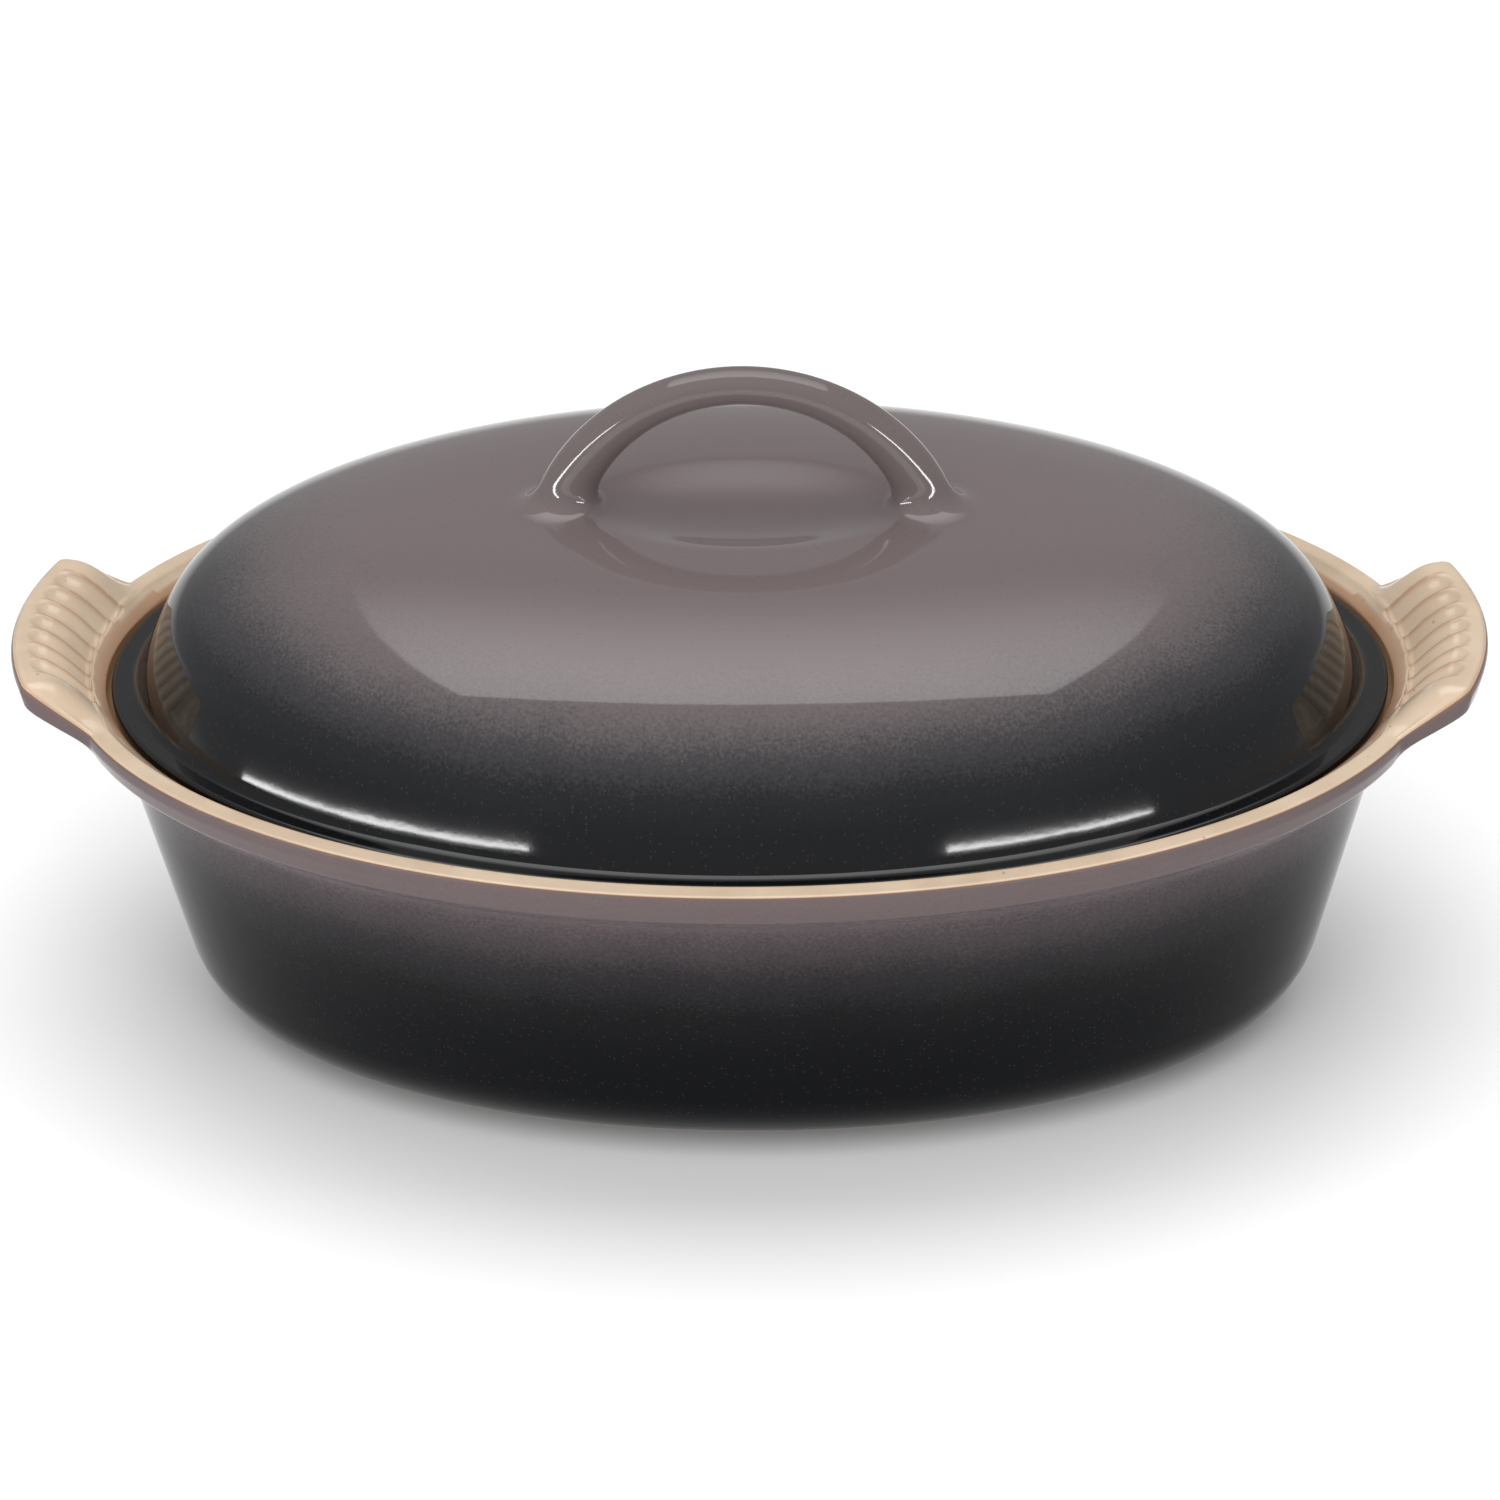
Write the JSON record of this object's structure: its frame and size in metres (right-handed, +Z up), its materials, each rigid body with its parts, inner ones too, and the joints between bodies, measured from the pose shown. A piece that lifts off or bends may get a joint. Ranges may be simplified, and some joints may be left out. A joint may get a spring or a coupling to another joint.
{
  "type": "covered casserole dish",
  "caption": "Oval stoneware casserole with two fluted shell grips and a domed lift-off lid with an arched handle.",
  "frame": {"origin": "middle of the footprint, on the surface the dish stands on", "axes": "+X along the dish through the two grips, +Y across it, +Z up"},
  "size_m": [0.3884, 0.237, 0.1881],
  "materials": {
    "dish_glaze": "gloss",
    "cream_glaze": "gloss",
    "lid_glaze": "gloss",
    "bare_stoneware": "matte"
  },
  "bodies": {
    "dish": {"dish_bowl": "dish_glaze", "dish_rim": "cream_glaze", "foot_ring": "bare_stoneware", "left_grip": "cream_glaze", "right_grip": "cream_glaze"},
    "lid": {"lid_dome": "lid_glaze", "lid_flange": "lid_glaze", "lid_handle": "lid_glaze"}
  },
  "joints": [
    {"name": "lid_lift", "type": "slide", "parent": "dish", "child": "lid", "axis": [0, 0, 1], "range_m": [0, 0.15]}
  ]
}
